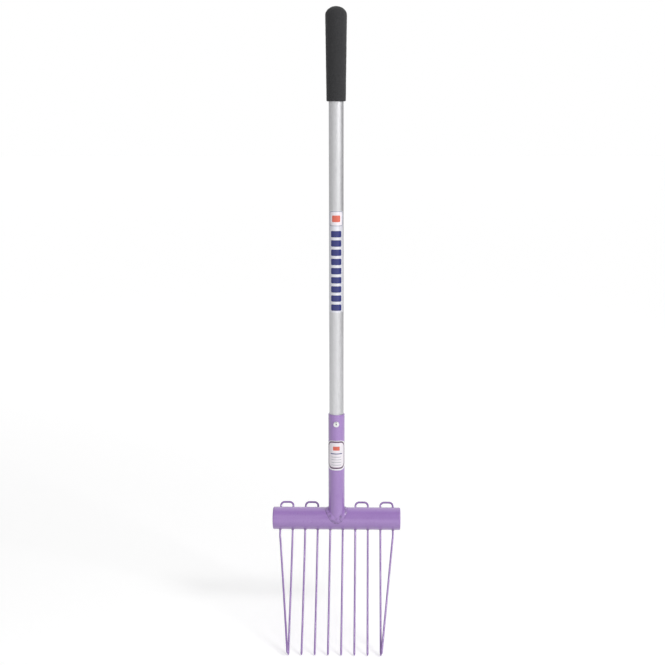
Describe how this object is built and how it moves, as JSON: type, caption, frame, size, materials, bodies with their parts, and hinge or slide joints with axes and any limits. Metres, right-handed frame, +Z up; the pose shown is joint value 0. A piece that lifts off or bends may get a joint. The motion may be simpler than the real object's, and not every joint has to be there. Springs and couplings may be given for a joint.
{
  "type": "manure fork",
  "caption": "Long-handled manure fork: tube shaft with a domed foam grip, riveted into a painted socket welded to a round crossbar that carries thin curved wire tines.",
  "frame": {"origin": "on the shaft axis, 60 mm below the grip, where a tool clip holds the shaft", "axes": "+Z up along the shaft towards the grip, +X along the crossbar, +Y behind the fork; the tines reach down and towards -Y"},
  "size_m": [0.2832, 0.2221, 1.3358],
  "materials": {
    "foam": "matte black foam rubber",
    "shaft_metal": "satin drawn aluminium with fine lengthwise lines",
    "shaft_film": "thin printed film with plain stripes",
    "lilac_paint": "glossy lilac powder coat",
    "socket_film": "thin white film with a plain border",
    "rivet_metal": "bright aluminium",
    "mandrel_steel": "dull steel"
  },
  "bodies": {
    "root": {"grip": "foam", "shaft": "shaft_metal", "shaft_label": "shaft_film", "socket": "lilac_paint", "crossbar": "lilac_paint", "bar_end_left": "lilac_paint", "bar_end_right": "lilac_paint", "socket_weld": "lilac_paint", "tine_welds": "lilac_paint", "hairpin_left_outer": "lilac_paint", "hairpin_left_inner": "lilac_paint", "hairpin_centre": "lilac_paint", "hairpin_right_inner": "lilac_paint", "hairpin_right_outer": "lilac_paint", "socket_label": "socket_film", "rivet_body": "rivet_metal", "rivet_mandrel": "mandrel_steel"}
  },
  "joints": []
}
